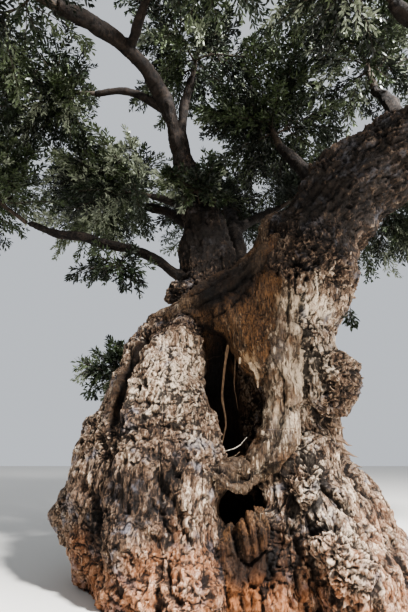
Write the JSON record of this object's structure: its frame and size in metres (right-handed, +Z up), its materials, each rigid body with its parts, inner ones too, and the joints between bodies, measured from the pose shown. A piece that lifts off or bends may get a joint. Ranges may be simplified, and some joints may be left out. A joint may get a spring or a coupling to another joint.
{
  "type": "olive tree",
  "caption": "Ancient olive tree with a broad hollow trunk of grown-together ribs, burls and a flared foot, two great limbs and an open evergreen crown.",
  "frame": {"origin": "on the trunk's flat cut at ground level, in the middle of its foot", "axes": "+Z up the trunk, -Y towards the side with the hollow, +X towards the great leaning limb"},
  "size_m": [9.4144, 7.2229, 7.7639],
  "materials": {
    "bark": "rough bark",
    "dark_bark": "rough bark",
    "foliage": "satin leaves"
  },
  "bodies": {
    "root": {"trunk": "bark", "right_limb": "bark", "leader": "dark_bark", "left_arch_bough": "dark_bark", "left_side_bough": "dark_bark", "left_low_bough": "dark_bark", "left_inner_bough": "dark_bark", "top_bough": "dark_bark", "front_bough": "dark_bark", "centre_bough": "dark_bark", "right_middle_bough": "dark_bark", "back_bough": "dark_bark", "back_left_bough": "dark_bark", "back_right_bough": "dark_bark", "right_back_bough": "dark_bark", "right_top_bough": "dark_bark", "right_front_bough": "dark_bark", "right_outer_bough": "dark_bark", "left_front_foliage": "foliage", "left_upper_foliage": "foliage", "left_low_foliage": "foliage", "left_inner_foliage": "foliage", "left_hanging_foliage": "foliage", "left_sucker_foliage": "foliage", "leader_shoots": "foliage", "top_foliage": "foliage", "front_foliage": "foliage", "centre_foliage": "foliage", "right_middle_foliage": "foliage", "back_foliage": "foliage", "back_left_foliage": "foliage", "back_right_foliage": "foliage", "right_back_foliage": "foliage", "right_top_foliage": "foliage", "right_front_foliage": "foliage", "right_outer_foliage": "foliage"}
  },
  "joints": []
}
